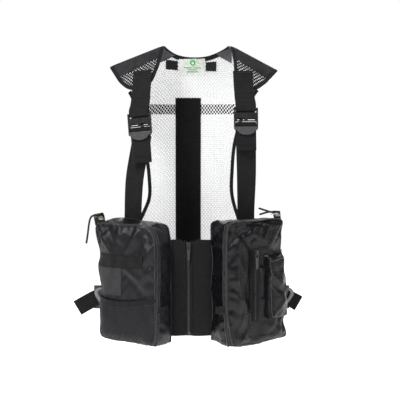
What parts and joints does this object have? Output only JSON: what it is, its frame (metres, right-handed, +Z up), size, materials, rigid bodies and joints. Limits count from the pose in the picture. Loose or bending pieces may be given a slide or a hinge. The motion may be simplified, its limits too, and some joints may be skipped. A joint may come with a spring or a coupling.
{
  "type": "safety harness vest",
  "caption": "Padded-shoulder webbing vest with an open mesh back, tension buckles, a zip front belt and two zipped pouches.",
  "frame": {"origin": "between the two shoulder ridges at the neck, where a hanger or the shoulders carry the vest", "axes": "+X to the right of someone facing the vest, +Y from the chest to the back, +Z up"},
  "size_m": [0.564, 0.2704, 0.7108],
  "materials": {
    "back_panel": "open white mesh",
    "neck_binding": "woven binding",
    "left_side_binding": "woven binding",
    "right_side_binding": "woven binding",
    "left_yoke": "black mesh",
    "right_yoke": "black mesh",
    "left_yoke_binding": "woven binding",
    "right_yoke_binding": "woven binding",
    "spine_band": "matte webbing",
    "cross_band": "matte webbing",
    "neck_label": "woven label",
    "left_hook_patch": "napped patch",
    "right_hook_patch": "napped patch",
    "left_upper_strap": "ribbed webbing",
    "right_upper_strap": "ribbed webbing",
    "left_lower_strap": "ribbed webbing",
    "right_lower_strap": "ribbed webbing",
    "left_side_panel": "woven",
    "right_side_panel": "woven",
    "left_side_strap": "ribbed webbing",
    "right_side_strap": "ribbed webbing",
    "left_side_slider": "moulded",
    "right_side_slider": "moulded",
    "left_buckle": "moulded satin",
    "left_strap_tail": "ribbed webbing",
    "right_buckle": "moulded satin",
    "right_strap_tail": "ribbed webbing",
    "left_belt_panel": "ribbed elastic",
    "left_zip_chain": "zip tape and teeth",
    "zip_box": "moulded",
    "left_pouch_back": "coated nylon",
    "left_pouch_gusset": "coated nylon",
    "left_pouch_front": "coated nylon",
    "left_pouch_zip": "zip tape",
    "daisy_strip": "woven",
    "loop_patch": "napped patch",
    "mesh_pocket": "black mesh",
    "pocket_elastic": "woven",
    "left_corner_tab": "woven",
    "left_gusset_tab": "woven",
    "right_belt_panel": "ribbed elastic",
    "right_zip_chain": "zip tape and teeth",
    "right_pouch_back": "coated nylon",
    "right_pouch_gusset": "coated nylon",
    "right_pouch_front": "coated nylon",
    "right_pouch_zip": "zip tape",
    "right_front_pocket": "woven",
    "right_pocket_zip": "zip tape",
    "right_corner_tab": "woven",
    "right_gusset_tab": "woven",
    "center_slider": "black enamel",
    "center_pull": "black enamel",
    "left_pouch_slider": "bright metal",
    "left_pouch_pull": "bright metal",
    "left_pull_cord": "braided cord",
    "right_pouch_slider": "bright metal",
    "right_pouch_pull": "bright metal",
    "right_pull_cord": "braided cord",
    "pocket_slider": "black enamel",
    "pocket_pull": "black enamel"
  },
  "bodies": {
    "harness": {"back_panel": "back_panel", "neck_binding": "neck_binding", "left_side_binding": "left_side_binding", "right_side_binding": "right_side_binding", "left_yoke": "left_yoke", "right_yoke": "right_yoke", "left_yoke_binding": "left_yoke_binding", "right_yoke_binding": "right_yoke_binding", "spine_band": "spine_band", "cross_band": "cross_band", "neck_label": "neck_label", "left_hook_patch": "left_hook_patch", "right_hook_patch": "right_hook_patch", "left_upper_strap": "left_upper_strap", "right_upper_strap": "right_upper_strap", "left_lower_strap": "left_lower_strap", "right_lower_strap": "right_lower_strap", "left_side_panel": "left_side_panel", "right_side_panel": "right_side_panel", "left_side_strap": "left_side_strap", "right_side_strap": "right_side_strap", "left_side_slider": "left_side_slider", "right_side_slider": "right_side_slider"},
    "left_buckle_body": {"left_buckle": "left_buckle", "left_strap_tail": "left_strap_tail"},
    "right_buckle_body": {"right_buckle": "right_buckle", "right_strap_tail": "right_strap_tail"},
    "left_front": {"left_belt_panel": "left_belt_panel", "left_zip_chain": "left_zip_chain", "zip_box": "zip_box", "left_pouch_back": "left_pouch_back", "left_pouch_gusset": "left_pouch_gusset", "left_pouch_front": "left_pouch_front", "left_pouch_zip": "left_pouch_zip", "daisy_strip": "daisy_strip", "loop_patch": "loop_patch", "mesh_pocket": "mesh_pocket", "pocket_elastic": "pocket_elastic", "left_corner_tab": "left_corner_tab", "left_gusset_tab": "left_gusset_tab"},
    "right_front": {"right_belt_panel": "right_belt_panel", "right_zip_chain": "right_zip_chain", "right_pouch_back": "right_pouch_back", "right_pouch_gusset": "right_pouch_gusset", "right_pouch_front": "right_pouch_front", "right_pouch_zip": "right_pouch_zip", "right_front_pocket": "right_front_pocket", "right_pocket_zip": "right_pocket_zip", "right_corner_tab": "right_corner_tab", "right_gusset_tab": "right_gusset_tab"},
    "center_slider_body": {"center_slider": "center_slider"},
    "center_pull_body": {"center_pull": "center_pull"},
    "left_slider_body": {"left_pouch_slider": "left_pouch_slider"},
    "left_pull_body": {"left_pouch_pull": "left_pouch_pull", "left_pull_cord": "left_pull_cord"},
    "right_slider_body": {"right_pouch_slider": "right_pouch_slider"},
    "right_pull_body": {"right_pouch_pull": "right_pouch_pull", "right_pull_cord": "right_pull_cord"},
    "pocket_slider_body": {"pocket_slider": "pocket_slider"},
    "pocket_pull_body": {"pocket_pull": "pocket_pull"}
  },
  "joints": [
    {"name": "left_front_swing", "type": "hinge", "parent": "harness", "child": "left_front", "pos_m": [-0.187, -0.033, -0.588], "axis": [0, 0, -1], "range_deg": [0, 45]},
    {"name": "right_front_swing", "type": "hinge", "parent": "harness", "child": "right_front", "pos_m": [0.19, -0.029, -0.588], "axis": [0, 0, 1], "range_deg": [0, 45]},
    {"name": "left_buckle_tilt", "type": "hinge", "parent": "harness", "child": "left_buckle_body", "pos_m": [-0.125, -0.088, -0.181], "axis": [-0.9586, 0.2749, -0.075], "range_deg": [0, 30]},
    {"name": "right_buckle_tilt", "type": "hinge", "parent": "harness", "child": "right_buckle_body", "pos_m": [0.127, -0.088, -0.1685], "axis": [-0.9975, -0.0697, -0.014], "range_deg": [0, 30]},
    {"name": "center_zip_slide", "type": "slide", "parent": "left_front", "child": "center_slider_body", "axis": [0, 0, -1], "range_m": [0, 0.198]},
    {"name": "center_pull_swing", "type": "hinge", "parent": "center_slider_body", "child": "center_pull_body", "pos_m": [-0.008, -0.1127, -0.485], "axis": [-1, 0, 0], "range_deg": [0, 105]},
    {"name": "left_zip_slide", "type": "slide", "parent": "left_front", "child": "left_slider_body", "axis": [0.8902, -0.4536, -0.0437], "range_m": [0, 0.1]},
    {"name": "left_pull_swing", "type": "hinge", "parent": "left_slider_body", "child": "left_pull_body", "pos_m": [-0.2122, -0.10239, -0.42204], "axis": [0.454, 0.891, 0], "range_deg": [0, 90]},
    {"name": "right_zip_slide", "type": "slide", "parent": "right_front", "child": "right_slider_body", "axis": [-0.8904, -0.4537, -0.0372], "range_m": [0, 0.1]},
    {"name": "right_pull_swing", "type": "hinge", "parent": "right_slider_body", "child": "right_pull_body", "pos_m": [0.19843, -0.10737, -0.41342], "axis": [-0.454, 0.891, 0], "range_deg": [0, 90]},
    {"name": "pocket_zip_slide", "type": "slide", "parent": "right_front", "child": "pocket_slider_body", "axis": [0, 0, -1], "range_m": [0, 0.145]},
    {"name": "pocket_pull_swing", "type": "hinge", "parent": "pocket_slider_body", "child": "pocket_pull_body", "pos_m": [0.1488, -0.15263, -0.5], "axis": [-0.891, -0.454, 0], "range_deg": [0, 105]}
  ]
}
